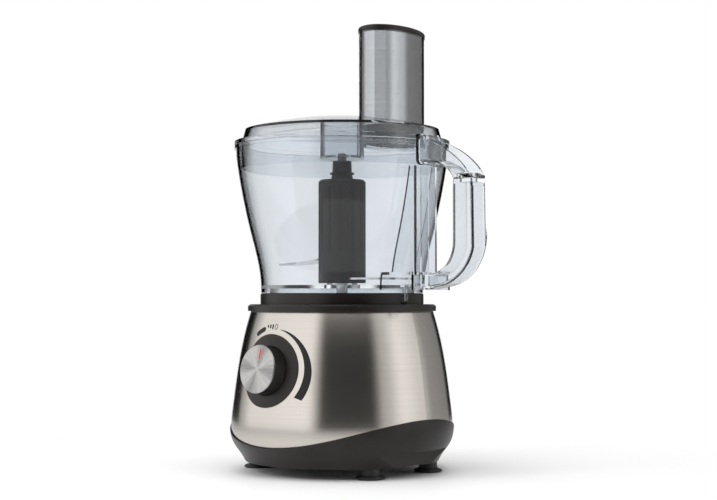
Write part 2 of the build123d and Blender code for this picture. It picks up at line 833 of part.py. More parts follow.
with BuildPart() as bowl:
    # column on the outside of the wall, and the bracket under it
    add(block(60, column_x, -column_half_width, column_half_width, bracket_bottom, column_top))
    add(block(60, bracket_x, -bracket_half_width, bracket_half_width, bracket_bottom, bracket_top))
    column_edges = bowl.edges().filter_by(Axis.Z).group_by(Axis.X)[-2:]
    fillet(column_edges[0] + column_edges[1], 2.5)
    add(
        block(
            60,
            column_x - column_wall,
            -column_half_width + column_wall,
            column_half_width - column_wall,
            bracket_bottom,
            column_top,
        ),
        mode=Mode.SUBTRACT,
    )
    add(
        block(
            60,
            bracket_x - 3,
            -bracket_half_width + column_wall,
            bracket_half_width - column_wall,
            bracket_bottom,
            bracket_top - column_wall,
        ),
        mode=Mode.SUBTRACT,
    )
    # vessel
    add(bowl_solid(0, bowl_bottom, bowl_rim))
    add(barrel(rim_radius, bowl_rim - rim_thickness, bowl_rim))
    add(bowl_solid(bowl_wall, bowl_floor, bowl_rim), mode=Mode.SUBTRACT)
    add(barrel(seat_inner, bowl_bottom, bowl_seat), mode=Mode.SUBTRACT)
    # centre tube, and the locking collar with its lugs
    add(barrel(tube_outer, bowl_seat, tube_top))
    add(barrel(tube_inner, bowl_seat - 1, tube_top + 1), mode=Mode.SUBTRACT)
    add(barrel(collar_outer, collar_bottom, bowl_seat))
    add(barrel(collar_inner, collar_bottom, bowl_seat), mode=Mode.SUBTRACT)
    add(
        lug_ring(
            collar_outer - 1,
            groove_radius - body_gap,
            collar_bottom,
            lug_height,
            lug_angle / 2,
            [45 + i * 360 / lug_count for i in range(lug_count)],
        )
    )
save(bowl.part, "bowl")


grip_lean = 0.8                     # how far the grip's outer face leans out
outer_bend = bowl_bottom + 37.7
outer_middle = (grip_outer_x - 11, bowl_bottom + 17.2)
outer_end = (grip_outer_x - 33, bowl_bottom + 5.7)
root_bottom = bowl_bottom + 2.7
root_top = bowl_bottom + 16.7
inner_start = (grip_inner_x - 21, root_top)
inner_middle = (grip_inner_x - 6.5, bowl_bottom + 25.7)
inner_bend = bowl_bottom + 43.7
cover_top = seam_height - 6
cover_start_x = outer_end[0] - 2


def handle_outline():
    """Side view of the handle, as a closed wire-face in the plane through the handle's middle."""
    low_end = bracket_x + seat_gap
    with BuildSketch(Plane.XZ) as side:
        with BuildLine():
            Line((grip_inner_x, seam_height), (grip_outer_x, seam_height))
            Line((grip_outer_x, seam_height), (grip_outer_x + grip_lean, outer_bend))
            lower = ThreePointArc((grip_outer_x + grip_lean, outer_bend), outer_middle, outer_end)
            Line(lower @ 1, (low_end, root_bottom))
            Line((low_end, root_bottom), (low_end, root_top))
            Line((low_end, root_top), inner_start)
            inner = ThreePointArc(inner_start, inner_middle, (grip_inner_x, inner_bend))
            Line(inner @ 1, (grip_inner_x, seam_height))
        make_face()
    return side.sketch


def handle_core():
    """The handle's outline shrunk by its wall."""
    with BuildSketch(Plane.XZ) as side:
        add(handle_outline())
        offset(amount=-handle_wall, kind=Kind.INTERSECTION, mode=Mode.REPLACE)
    return side.sketch


def cover_zone(gap):
    """The outer band of the handle's wall, where the cover strip fits."""
    with BuildSketch(Plane.XZ) as side:
        add(handle_outline())
        add(handle_core(), mode=Mode.SUBTRACT)
        with BuildLine():
            Polyline(
                (grip_outer_x - handle_wall - 1, cover_top - gap),
                (grip_outer_x + 20, cover_top - gap),
                (grip_outer_x + 20, root_bottom - 12),
                (cover_start_x + gap, root_bottom - 12),
                (cover_start_x + gap, root_top - 4),
                (cover_start_x + 18, root_top + 7),
                (grip_outer_x - handle_wall - 1, outer_bend + 3),
                close=True,
            )
        make_face(mode=Mode.INTERSECT)
    return side.sketch


cover_half_width = handle_half_width - handle_wall

with BuildPart() as handle_grip:
    extrude(handle_outline(), amount=handle_half_width, both=True)
    long_edges = handle_grip.edges().filter_by(lambda e: abs(e.center().Y) > handle_half_width - 0.1)
    free_edges = long_edges.filter_by(lambda e: e.center().X > bracket_x + 1)
    fillet(free_edges.filter_by(lambda e: e.center().Z < seam_height - 1), 2.2)
    extrude(handle_core(), amount=cover_half_width, both=True, mode=Mode.SUBTRACT)
    extrude(cover_zone(0), amount=cover_half_width, both=True, mode=Mode.SUBTRACT)
save(handle_grip.part, "handle_grip")

with BuildPart() as handle_cover:
    extrude(cover_zone(seat_gap), amount=cover_half_width - seat_gap, both=True)
save(handle_cover.part, "handle_cover")

# ================= lid =================

arm_half_width = 11.5
arm_wall = 2.4
arm_bottom = column_top + 0.8
finger_half_width = 3.0


def dome(shoulder_r, shoulder_z, crown, low, foot_r):
    """Solid under the lid's dome, down to a height, with a sloping side."""
    with BuildPart() as solid:
        with BuildSketch(Plane.XZ):
            with BuildLine():
                Line((0, low), (foot_r, low))
                Line((foot_r, low), (shoulder_r, shoulder_z))
                rise = crown - shoulder_z
                ball = (shoulder_r**2 + rise**2) / (2 * rise)
                RadiusArc((shoulder_r, shoulder_z), (0, crown), -ball)
                Line((0, crown), (0, low))
            make_face()
        revolve(axis=Axis.Z)
    return solid.part


feed_plane = Plane.XY.move(Location((*feed_centre, 0), (0, 0, feed_angle)))


def feed_oval(inset, low, high, taper=0):
    """Upright oval solid about the feed tube's axis, inset from the tube's outside."""
    with BuildPart() as solid:
        with BuildSketch(feed_plane.offset(low)):
            Ellipse(feed_radial - inset, feed_across - inset)
        extrude(amount=high - low, taper=taper)
    return solid.part


arm_root_x = 90.0
arm_step_x = rim_radius + 9.0
arm_end = seam_height + body_gap
arm_back = [(arm_step_x + 22, bowl_rim - 10.5), (grip_outer_x - 8, bowl_rim - 26)]
arm_throat = [(grip_inner_x - 6, bowl_rim - 28.5), (grip_inner_x - 17, bowl_rim - 23.5)]
channel_floor = [(arm_step_x + 13.5, bowl_rim - 20), (grip_inner_x - 4, bowl_rim - 25.5)]
above_lid = lid_crown + 1.0


def arm_outline():
    """Side view of the lid's arm, which closes the top of the handle."""
    with BuildSketch(Plane.XZ) as side:
        with BuildLine():
            Line((arm_root_x, lid_flange_top), (arm_step_x - 3, lid_flange_top))
            Line((arm_step_x - 3, lid_flange_top), (arm_step_x, bowl_rim - 1.5))
            Spline((arm_step_x, bowl_rim - 1.5), *arm_back, (grip_outer_x, arm_end))
            Line((grip_outer_x, arm_end), (grip_inner_x, arm_end))
            Spline((grip_inner_x, arm_end), *arm_throat, (arm_step_x + 1, arm_bottom))
            Line((arm_step_x + 1, arm_bottom), (arm_root_x, arm_bottom))
            Line((arm_root_x, arm_bottom), (arm_root_x, lid_flange_top))
        make_face()
    return side.sketch


def arm_hollow():
    """Side view of the channel inside the arm, open along its top."""
    with BuildSketch(Plane.XZ) as side:
        with BuildLine():
            Polyline(
                (rim_radius + 3, above_lid),
                (rim_radius + 3, arm_bottom + arm_wall + 1),
                (arm_step_x + 1, arm_bottom + arm_wall + 1),
                *channel_floor,
                (grip_inner_x + arm_wall, seam_height + 5),
                (grip_outer_x + 20, seam_height + 5),
                (grip_outer_x + 20, above_lid),
                close=True,
            )
        make_face()
    return side.sketch


with BuildPart() as lid:
    extrude(arm_outline(), amount=arm_half_width, both=True)
    bottom_edges = lid.edges().filter_by(lambda e: abs(e.center().Y) > arm_half_width - 0.1)
    rounded = bottom_edges.filter_by(lambda e: e.center().Z < arm_bottom + 1)
    fillet(rounded.filter_by(lambda e: arm_root_x + 0.5 < e.center().X < grip_outer_x - 7), 5)
    extrude(arm_hollow(), amount=arm_half_width - arm_wall, both=True, mode=Mode.SUBTRACT)
    # room for the bowl's rim and wall as the lid turns
    add(barrel(rim_radius + body_gap, bowl_floor, lid_bottom), mode=Mode.SUBTRACT)
    add(
        block(
            rod_x + body_gap,
            rim_radius + 4,
            -finger_half_width,
            finger_half_width,
            arm_bottom,
            arm_bottom + 3,
        )
    )
    add(dome(lid_shoulder[0], lid_shoulder[1], lid_crown, lid_bottom, lid_foot_radius))
    add(barrel(rim_radius, lid_bottom, lid_flange_top))
    add(feed_oval(0, lid_bottom, feed_top))
    add(barrel(lid_skirt_radius, lid_skirt_bottom, lid_bottom))
    add(
        dome(
            lid_shoulder[0] - lid_wall,
            lid_shoulder[1] - lid_wall,
            lid_crown - lid_wall,
            lid_flange_top,
            lid_skirt_radius - lid_wall,
        ),
        mode=Mode.SUBTRACT,
    )
    add(barrel(lid_skirt_radius - lid_wall, lid_skirt_bottom, lid_flange_top), mode=Mode.SUBTRACT)
    with BuildSketch(feed_plane.offset(feed_bottom)):
        Ellipse(feed_radial, feed_across)
    extrude(until=Until.NEXT)
    add(feed_oval(lid_wall, feed_bottom - 1, feed_top + 1), mode=Mode.SUBTRACT)
    # centre boss that steadies the top of the blade's hub
    with BuildSketch(Plane.XY.offset(lid_boss_bottom)):
        Circle(lid_boss_radius)
        Circle(lid_boss_radius - lid_wall, mode=Mode.SUBTRACT)
    extrude(until=Until.NEXT)
    with BuildSketch(Plane.XY.offset(lid_boss_bottom)):
        Circle(lid_boss_radius)
        Circle(pin_radius + body_gap, mode=Mode.SUBTRACT)
    extrude(amount=lid_wall)
save(lid.part, "lid")

# ================= pusher =================

pusher_low = lid_bottom
sleeve_low = lid_shoulder[1]
sleeve_high = feed_top - 1.0
sleeve_thickness = 0.8
pusher_inset = lid_wall + pusher_clearance
tooth_pitch = 6.0
tooth_gap = 2.0
tooth_depth = 2.0

with BuildPart() as pusher_sleeve:
    add(feed_oval(pusher_inset, sleeve_low, sleeve_high))
    add(feed_oval(pusher_inset + sleeve_thickness, sleeve_low, sleeve_high), mode=Mode.SUBTRACT)
save(pusher_sleeve.part, "pusher_sleeve")

with BuildPart() as pusher_core:
    add(feed_oval(pusher_inset + sleeve_thickness + seat_gap, pusher_low, feed_top + body_gap))
    add(feed_oval(pusher_inset, pusher_low, sleeve_low - seat_gap))
    add(
        feed_oval(pusher_inset + sleeve_thickness + pusher_wall, pusher_low + 4.5, feed_top + 1),
        mode=Mode.SUBTRACT,
    )
    with BuildSketch(feed_plane.offset(pusher_low)):
        with GridLocations(tooth_pitch, 0, 7, 1):
            Rectangle(tooth_gap, 2 * feed_across)
        with GridLocations(0, tooth_pitch, 1, 13):
            Rectangle(2 * feed_radial, tooth_gap)
    extrude(amount=tooth_depth, mode=Mode.SUBTRACT)
save(pusher_core.part, "pusher_core")

with BuildPart() as pusher_cap:
    add(feed_oval(-0.6, feed_top + body_gap, feed_top + body_gap + cap_thickness))
    fillet(pusher_cap.edges().group_by(Axis.Z)[-1], 1.4)
save(pusher_cap.part, "pusher_cap")

# ================= blade =================

hub_bore = tube_outer + 1.5
collar_height = 1.6
blade_places = {"lower_blade": (bowl_floor + 5.0, 0.0, 0.0), "upper_blade": (bowl_floor + 26.0, 180.0, 7.0)}
blade_parts = {}
for name, (height, turn, lift) in blade_places.items():
    blade_plane = Plane(Location((0, 0, height), (0, 0, turn))).rotated((0, -lift, 0))
    root = hub_bore + 1.6
    with BuildPart() as blade:
        with BuildSketch(blade_plane):
            with BuildLine():
                Line((root, -12), (root, 11))
                ThreePointArc((root, 11), (40, 5.5), (0.95 * blade_reach, 0.3 * blade_reach))
                ThreePointArc((0.95 * blade_reach, 0.3 * blade_reach), (49, -12), (root, -12))
            make_face()
        extrude(amount=blade_thickness)
    blade_parts[name] = blade.part
    save(blade.part, name)

with BuildPart() as blade_hub:
    add(
        turned(
            [
                (0, hub_bottom),
                (hub_radius, hub_bottom),
                (hub_radius, hub_shoulder - 2),
                (hub_radius - 2, hub_shoulder),
                (neck_radius + 1.5, hub_shoulder + 0.6),
                (neck_radius + 0.8, hub_shoulder + 5),
                (neck_radius + 2.6, hub_shoulder + 5),
                (neck_radius + 2.6, hub_shoulder + 5 + collar_height),
                (neck_radius + 0.5, hub_shoulder + 5 + collar_height),
                (neck_radius, neck_top),
                (pin_radius, neck_top),
                (pin_radius, neck_top + 6),
                (pin_radius - 1, neck_top + 7),
                (0, neck_top + 7),
            ]
        )
    )
    with BuildSketch(Plane.XY.offset(hub_bottom + 30)):
        with PolarLocations(hub_radius + 0.4, 14):
            Circle(1.3)
    extrude(amount=hub_shoulder - hub_bottom - 36, mode=Mode.SUBTRACT)
    add(barrel(hub_bore, hub_bottom, hex_low), mode=Mode.SUBTRACT)
    with BuildSketch(Plane.XY.offset(hub_bottom)):
        RegularPolygon(hex_across / 2 + seat_gap, 6, major_radius=False)
    extrude(amount=hex_high - hub_bottom + 2, mode=Mode.SUBTRACT)
    for blade_part in blade_parts.values():
        add(blade_part, mode=Mode.SUBTRACT)
save(blade_hub.part, "blade_hub")

# ================= interlock rod =================

foot_low = bowl_seat + 1.0
foot_thickness = 3.0
rod_pin_radius = 1.4
rod_pin_low = plunger_top + 0.8

with BuildPart() as interlock_rod:
    add(block(rod_x, rod_x + rod_thickness, -rod_half_width, rod_half_width, foot_low, rod_top))
    add(
        block(
            plunger_x - rod_pin_radius,
            rod_x + rod_thickness,
            -rod_half_width,
            rod_half_width,
            foot_low,
            foot_low + foot_thickness,
        )
    )
    add(barrel(rod_pin_radius, rod_pin_low, foot_low, plunger_x, 0))
save(interlock_rod.part, "interlock_rod")
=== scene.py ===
import json
import math
import bmesh
import bpy
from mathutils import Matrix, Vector, bvhtree


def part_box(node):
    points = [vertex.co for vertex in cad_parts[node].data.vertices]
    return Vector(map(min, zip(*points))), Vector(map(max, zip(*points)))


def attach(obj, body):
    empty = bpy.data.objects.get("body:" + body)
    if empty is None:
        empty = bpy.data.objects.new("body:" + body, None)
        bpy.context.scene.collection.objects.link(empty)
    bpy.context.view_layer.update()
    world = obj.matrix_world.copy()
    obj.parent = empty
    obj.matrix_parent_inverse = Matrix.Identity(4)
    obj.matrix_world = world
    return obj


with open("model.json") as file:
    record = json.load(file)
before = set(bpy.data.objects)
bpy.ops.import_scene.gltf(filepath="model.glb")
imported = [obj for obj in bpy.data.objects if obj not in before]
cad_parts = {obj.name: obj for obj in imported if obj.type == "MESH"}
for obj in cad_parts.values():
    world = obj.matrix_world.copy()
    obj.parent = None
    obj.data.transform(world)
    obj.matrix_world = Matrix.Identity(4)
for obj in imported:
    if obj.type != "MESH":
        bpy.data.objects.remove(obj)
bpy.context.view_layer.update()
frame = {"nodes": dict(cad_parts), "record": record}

nodes = frame["nodes"]
print("frame loaded:", len(nodes), "parts")

camera = {
    "place": (0.9302, -0.9976, 0.1554),
    "turn": (91.8, 0.0, 42.37),      # degrees
    "lens": 75.3,
    "sensor": 36.0,
}
eye = bpy.data.objects.new("camera", bpy.data.cameras.new("camera"))
eye.data.lens = camera["lens"]
eye.data.sensor_width = camera["sensor"]
eye.location = camera["place"]
eye.rotation_euler = [math.radians(a) for a in camera["turn"]]
bpy.context.scene.collection.objects.link(eye)
bpy.context.scene.camera = eye
print("camera placed")

# the dial leans back with the base's side
dial = {
    "height": 0.092,
    "tilt": 9.0,
    "behindBezel": 0.004,    # from the bezel's front to the middle of the prints
    "reach": 0.05,           # how far out the search for the steel starts
    "lift": 0.00006,         # thickness of the ink
    "sunk": 0.00002,         # how far the ink's edges go into the steel
}
tilt = math.radians(dial["tilt"])
dialOut = Vector((0, -math.cos(tilt), math.sin(tilt)))
dialUp = Vector((0, math.sin(tilt), math.cos(tilt)))
dialRight = Vector((1, 0, 0))


def grey(value):
    return (value, value, value)


# nodes put into one node tree and joined up
class Wiring:
    def __init__(self, tree):
        self.tree = tree

    def add(self, kind, **settings):
        node = self.tree.nodes.new(kind)
        for key, value in settings.items():
            if hasattr(node, key):
                setattr(node, key, value)
            else:
                self.put(value, node.inputs[key.replace("_", " ")])
        return node

    def put(self, value, socket):
        if isinstance(value, bpy.types.NodeSocket):
            self.tree.links.new(value, socket)
        else:
            socket.default_value = value

    # value between low and high as the amount goes over its range
    def between(self, amount, low, high, start=0.3, end=0.7):
        node = self.add("ShaderNodeMapRange")
        self.put(amount, node.inputs["Value"])
        for key, value in (("From Min", start), ("From Max", end), ("To Min", low), ("To Max", high)):
            node.inputs[key].default_value = value
        return node.outputs[0]

    def blend(self, amount, first, second):
        node = self.add("ShaderNodeMix", data_type="RGBA")
        self.put(amount, node.inputs[0])
        for value, socket in ((first, node.inputs[6]), (second, node.inputs[7])):
            self.put(value if isinstance(value, bpy.types.NodeSocket) else (*value, 1), socket)
        return node.outputs[2]

    def math(self, kind, first, second=0.0):
        node = self.add("ShaderNodeMath", operation=kind)
        self.put(first, node.inputs[0])
        self.put(second, node.inputs[1])
        return node.outputs[0]


# one material, with its main shader and the part's own coordinates
class Finish(Wiring):
    def __init__(self, name, color, roughness, metal=0.0):
        self.material = bpy.data.materials.new(name)
        self.material.use_nodes = True
        super().__init__(self.material.node_tree)
        self.shader = self.tree.nodes["Principled BSDF"]
        self.shader.inputs["Base Color"].default_value = (*color, 1)
        self.shader.inputs["Roughness"].default_value = roughness
        self.shader.inputs["Metallic"].default_value = metal
        self.coords = self.add("ShaderNodeTexCoord").outputs["Object"]

    # coordinates stretched by an amount along each axis
    def stretched(self, scale):
        node = self.add("ShaderNodeMapping")
        self.put(self.coords, node.inputs["Vector"])
        node.inputs["Scale"].default_value = scale
        return node.outputs[0]

    def noise(self, vector, scale, detail=3.0):
        node = self.add("ShaderNodeTexNoise", Vector=vector, Scale=scale, Detail=detail, Roughness=0.5)
        return node.outputs["Fac"]

    # relief from a height, with its real depth in metres
    def relief(self, height, depth, strength):
        node = self.add("ShaderNodeBump")
        node.inputs["Strength"].default_value = strength
        node.inputs["Distance"].default_value = depth
        self.put(height, node.inputs["Height"])
        self.put(node.outputs[0], self.shader.inputs["Normal"])

    def color(self, value):
        self.put(value, self.shader.inputs["Base Color"])

    def roughness(self, value):
        self.put(value, self.shader.inputs["Roughness"])

    # gloss drawn out along a tangent
    def drawnOut(self, tangent, amount):
        self.put(tangent, self.shader.inputs["Tangent"])
        self.shader.inputs["Anisotropic"].default_value = amount
        self.shader.inputs["Anisotropic Rotation"].default_value = 0.25


# streaks that run round the base, from noise stretched across them
def brushedSteel():
    steel = {
        "dark": (0.555, 0.52, 0.475),
        "light": (0.605, 0.57, 0.525),
        "fine": (7, 7, 3400),
        "broad": (3, 3, 500),
        "broadShare": 0.15,
        "roughness": (0.205, 0.215),
        "depth": 0.000003,
        "drawnOut": 0.6,
    }
    f = Finish("brushedSteel", steel["dark"], 0.2, metal=1.0)
    fine = f.noise(f.stretched(steel["fine"]), 1.0, 2.0)
    broad = f.noise(f.stretched(steel["broad"]), 1.0, 3.0)
    fineShare = f.math("MULTIPLY", fine, 1 - steel["broadShare"])
    both = f.math("ADD", fineShare, f.math("MULTIPLY", broad, steel["broadShare"]))
    f.color(f.blend(f.between(both, 0, 1), steel["dark"], steel["light"]))
    f.roughness(f.between(broad, *steel["roughness"]))
    f.relief(fine, steel["depth"], 0.25)
    roundAxis = f.add("ShaderNodeTangent", direction_type="RADIAL", axis="Z")
    f.drawnOut(roundAxis.outputs[0], steel["drawnOut"])
    return f.material


# the pusher's sleeve is drawn smoother than the base
def sleeveSteel():
    sleeve = {
        "dark": (0.5, 0.49, 0.485),
        "light": (0.6, 0.59, 0.585),
        "streaks": (9, 9, 2600),
        "roughness": (0.1, 0.14),
        "depth": 0.000003,
    }
    f = Finish("sleeveSteel", (0.55, 0.54, 0.53), 0.12, metal=1.0)
    fine = f.noise(f.stretched(sleeve["streaks"]), 1.0, 2.0)
    f.color(f.blend(f.between(fine, 0, 1), sleeve["dark"], sleeve["light"]))
    f.roughness(f.between(fine, *sleeve["roughness"]))
    f.relief(fine, sleeve["depth"], 0.2)
    return f.material


def mouldedPlastic(name, color, low, high, grain=1400):
    plastic = {"specular": 0.3, "patches": 38, "sparkle": 0.02, "depth": 0.00002}
    f = Finish(name, color, low)
    f.shader.inputs["Specular IOR Level"].default_value = plastic["specular"]
    sparkle = f.noise(f.coords, grain, 2.0)
    patches = f.noise(f.coords, plastic["patches"], 3.0)
    lighter = tuple(min(1, c * 1.3 + 0.004) for c in color)
    f.color(f.blend(f.between(patches, 0, 1), color, lighter))
    speckled = f.between(sparkle, -plastic["sparkle"], plastic["sparkle"])
    f.roughness(f.math("ADD", f.between(patches, low, high), speckled))
    f.relief(sparkle, plastic["depth"], 0.5)
    return f.material


def clearPlastic():
    clear = {
        "tint": (0.84, 0.865, 0.89),
        "edge": (0.01, 0.012, 0.02),     # painted shade, the near-black colour seen edge on
        "paintedEdgeSharpness": 3.6,
        "paintedEdgeShare": 0.97,
        "bending": 1.5,
        "ripple": 26,
        "rippleDepth": 0.0002,
        "handling": (60, 60, 160),       # faint marks of use
        "roughness": (0.012, 0.05),
    }
    f = Finish("clearPlastic", clear["tint"], 0.03)
    f.shader.inputs["Transmission Weight"].default_value = 1.0
    f.shader.inputs["IOR"].default_value = clear["bending"]
    ripple = f.noise(f.coords, clear["ripple"], 2.0)
    handling = f.noise(f.stretched(clear["handling"]), 1.0, 4.0)
    # painted shade: seen edge on, the colour is darkened almost to black, which draws dark outlines round the
    # plastic
    facing = f.add("ShaderNodeLayerWeight", Blend=0.5).outputs["Facing"]
    lighter = tuple(min(1, c * 1.015) for c in clear["tint"])
    body = f.blend(f.between(ripple, 0, 1), clear["tint"], lighter)
    paintedEdgeShade = f.math("MULTIPLY", f.math("POWER", facing, clear["paintedEdgeSharpness"]), clear["paintedEdgeShare"])
    f.color(f.blend(paintedEdgeShade, body, clear["edge"]))
    f.roughness(f.between(handling, *clear["roughness"], 0.4, 0.8))
    f.relief(ripple, clear["rippleDepth"], 0.12)
    return f.material


def softRubber():
    rubber = {"clean": grey(0.015), "dusty": (0.05, 0.048, 0.046), "roughness": (0.5, 0.72), "depth": 0.00005}
    f = Finish("footRubber", grey(0.018), 0.62)
    grain = f.noise(f.coords, 2200, 3.0)
    dust = f.noise(f.coords, 120, 4.0)
    f.color(f.blend(f.between(dust, 0, 1, 0.45, 0.8), rubber["clean"], rubber["dusty"]))
    f.roughness(f.between(grain, *rubber["roughness"]))
    f.relief(grain, rubber["depth"], 0.6)
    return f.material


# turned metal face: rings round an axis through the middle, with rays and two fans of reflection painted into
# its colour
def spunMetal():
    cap = {
        "color": (0.5, 0.49, 0.475),
        "dark": (0.2, 0.195, 0.19),
        "light": (0.56, 0.55, 0.535),
        "rings": 2100,
        "paintedRays": 26,
        "paintedShadeFans": (17, 98),            # degrees clockwise from the top
        "paintedFanSharpness": 14.0,
        "paintedFanShade": -0.55,
        "roughness": (0.22, 0.36),
        "depth": 0.00001,
        "drawnOut": 0.85,
    }
    low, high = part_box("knob_cap")
    f = Finish("spunMetal", cap["color"], 0.3, metal=1.0)

    def vectorMath(kind, first, second=None):
        node = f.add("ShaderNodeVectorMath", operation=kind)
        f.put(first, node.inputs[0])
        if second is not None:
            f.put(second, node.inputs[1])
        return node

    centred = vectorMath("SUBTRACT", f.coords, (low + high) / 2).outputs[0]
    length = vectorMath("LENGTH", centred).outputs["Value"]
    spread = f.add("ShaderNodeCombineXYZ")
    f.put(f.math("MULTIPLY", length, cap["rings"]), spread.inputs[0])
    rings = f.noise(spread.outputs[0], 1.0, 2.0)
    # the grooves run round the cap, so the tangent is at right angles to the radius
    normal = f.add("ShaderNodeNewGeometry").outputs["Normal"]
    tangent = vectorMath("CROSS_PRODUCT", centred, normal).outputs[0]
    f.drawnOut(vectorMath("NORMALIZE", tangent).outputs[0], cap["drawnOut"])
    # painted reflection: fine rays from the middle, with two fans of painted shade across it
    ray = vectorMath("NORMALIZE", centred).outputs[0]
    paintedRays = f.noise(ray, cap["paintedRays"], 3.0)
    paintedShadeFans = 0.0
    for angle in cap["paintedShadeFans"]:
        a = math.radians(angle)
        along = vectorMath("DOT_PRODUCT", ray, dialRight * math.sin(a) + dialUp * math.cos(a))
        nearness = f.math("ABSOLUTE", along.outputs["Value"])
        paintedShadeFans = f.math("ADD", paintedShadeFans, f.math("POWER", nearness, cap["paintedFanSharpness"]))
    # painted shade and painted reflection, mixed into the cap's colour
    shade = f.math("ADD", f.math("MULTIPLY", paintedShadeFans, cap["paintedFanShade"]), f.between(paintedRays, 0.55, 1.0))
    f.color(f.blend(shade, cap["dark"], cap["light"]))
    f.roughness(f.between(rings, *cap["roughness"]))
    f.relief(rings, cap["depth"], 0.4)
    return f.material


def paintedMark(name, color, roughness):
    f = Finish(name, color, roughness)
    speck = f.noise(f.coords, 900, 3.0)
    f.color(f.blend(f.between(speck, 0, 1), tuple(c * 0.85 for c in color), color))
    f.roughness(f.between(speck, roughness - 0.05, roughness + 0.08))
    f.relief(speck, 0.00001, 0.3)
    return f.material


# bright worked metal: grain along one axis, with faint marks
def workedMetal(name, color, low, high, grain, depth=0.00001):
    f = Finish(name, color, low, metal=1.0)
    fine = f.noise(f.stretched(grain), 1.0, 3.0)
    marks = f.noise(f.coords, 90, 4.0)
    f.color(f.blend(f.between(marks, 0, 1), tuple(c * 0.82 for c in color), color))
    f.roughness(f.math("ADD", f.between(marks, low, high), f.between(fine, -0.03, 0.03)))
    f.relief(fine, depth, 0.4)
    return f.material


# stacked sheets or wound wire: bands of a known pitch up the Z axis
def banded(name, first, second, pitch, low, high, depth):
    f = Finish(name, first, low, metal=1.0)
    wave = f.add("ShaderNodeTexWave", wave_type="BANDS", bands_direction="Z", wave_profile="SIN")
    f.put(f.coords, wave.inputs["Vector"])
    wave.inputs["Scale"].default_value = math.pi / (10 * pitch)
    wave.inputs["Distortion"].default_value = 0.15
    patches = f.noise(f.coords, 150, 3.0)
    f.color(f.blend(wave.outputs["Fac"], second, first))
    f.roughness(f.between(patches, low, high))
    f.relief(wave.outputs["Fac"], depth, 0.8)
    return f.material


# green board with lighter tracks under its lacquer
def circuitBoard():
    board = {"base": (0.018, 0.11, 0.045), "tracks": (0.05, 0.24, 0.09), "cells": 260.0, "depth": 0.00004}
    f = Finish("circuitBoard", (0.02, 0.12, 0.05), 0.35)
    cells = f.add("ShaderNodeTexVoronoi", feature="F1", distance="CHEBYCHEV", Scale=board["cells"])
    f.put(f.coords, cells.inputs["Vector"])
    tracks = f.between(cells.outputs["Distance"], 0, 1, 0.36, 0.4)
    f.color(f.blend(tracks, board["base"], board["tracks"]))
    f.roughness(f.between(f.noise(f.coords, 300), 0.25, 0.42))
    f.relief(tracks, board["depth"], 0.5)
    return f.material


# one finish for each kind of material in the part's record
steelSheet, steelGap = (0.3, 0.29, 0.28), (0.1, 0.09, 0.085)
wire, wireGap = (0.72, 0.28, 0.12), (0.28, 0.08, 0.03)
finishes = {
    "brushed_steel": brushedSteel(),
    "black_plastic": mouldedPlastic("satinPlastic", (0.013, 0.0105, 0.009), 0.3, 0.38),
    "inner_plastic": mouldedPlastic("innerPlastic", (0.022, 0.022, 0.024), 0.42, 0.55),
    "clear_plastic": clearPlastic(),
    "rubber": softRubber(),
    "blade_steel": workedMetal("bladeSteel", (0.72, 0.72, 0.73), 0.12, 0.22, (40, 700, 700)),
    "spun_metal": spunMetal(),
    "red_mark": paintedMark("redMark", (0.8, 0.004, 0.006), 0.5),
    "shaft_steel": workedMetal("shaftSteel", (0.6, 0.6, 0.61), 0.18, 0.3, (60, 60, 1500)),
    "lamination": banded("lamination", steelSheet, steelGap, 0.0007, 0.35, 0.55, 0.00006),
    "copper": banded("windings", wire, wireGap, 0.0008, 0.22, 0.36, 0.0002),
    "bronze": workedMetal("sinteredBronze", (0.5, 0.33, 0.16), 0.38, 0.52, grey(900), 0.00002),
    "carbon": mouldedPlastic("carbon", (0.02, 0.02, 0.021), 0.45, 0.62, 3000),
    "board": circuitBoard(),
    "pressed_metal": workedMetal("galvanised", (0.5, 0.51, 0.52), 0.3, 0.46, grey(120)),
}
for part in frame["record"]["subparts"]:
    mesh = nodes[part["node"]].data
    mesh.materials.clear()
    mesh.materials.append(finishes[part["material_slot"]])
nodes["pusher_sleeve"].data.materials[0] = sleeveSteel()
print("finishes made:", len(finishes))


# pale floor, pale surroundings, soft light with darker sides
room = {
    "turn": 47,                # degrees that the surroundings are turned by
    # share of the way round, 0.5 towards the viewer, and brightness there
    "around": [
        (0.0, 1.0), (0.035, 1.0), (0.05, 0.0), (0.12, 0.0), (0.14, 0.55), (0.2, 1.2), (0.4, 1.35),
        (0.445, 0.02), (0.59, 0.02), (0.63, 0.7), (0.69, 1.3), (0.76, 1.0), (0.8, 0.4), (0.9, 0.3),
        (0.92, 0.0), (0.955, 0.0), (0.97, 1.0), (1.0, 1.0),
    ],
    "brightest": 2.0,
    "overhead": 0.5,
    "overheadFrom": (0.45, 0.8),
    "darkMiddle": 0.515,       # the dark front: its middle, and where it fades out on each side
    "darkFade": (0.08, 0.12),
    "throughPlastic": 0.46,
}
ground = {
    "radius": 0.75,
    "drop": 0.0004,
    "color": grey(0.92),
    "shades": (grey(0.9), grey(0.93)),
    "fade": (0.13, 0.42),      # where the floor goes over into plain white
    "inGloss": 0.62,           # strength of the white in reflections
}
lights = {
    "topLight": {"place": (0.2, -0.3, 1.9), "aim": (0, 0, 0.1), "size": (1.4, 1.4), "power": 14},
    "leftLight": {"place": (-0.7, -1.5, 1.1), "aim": (0, 0, 0.2), "size": (0.5, 1.0), "power": 7},
}


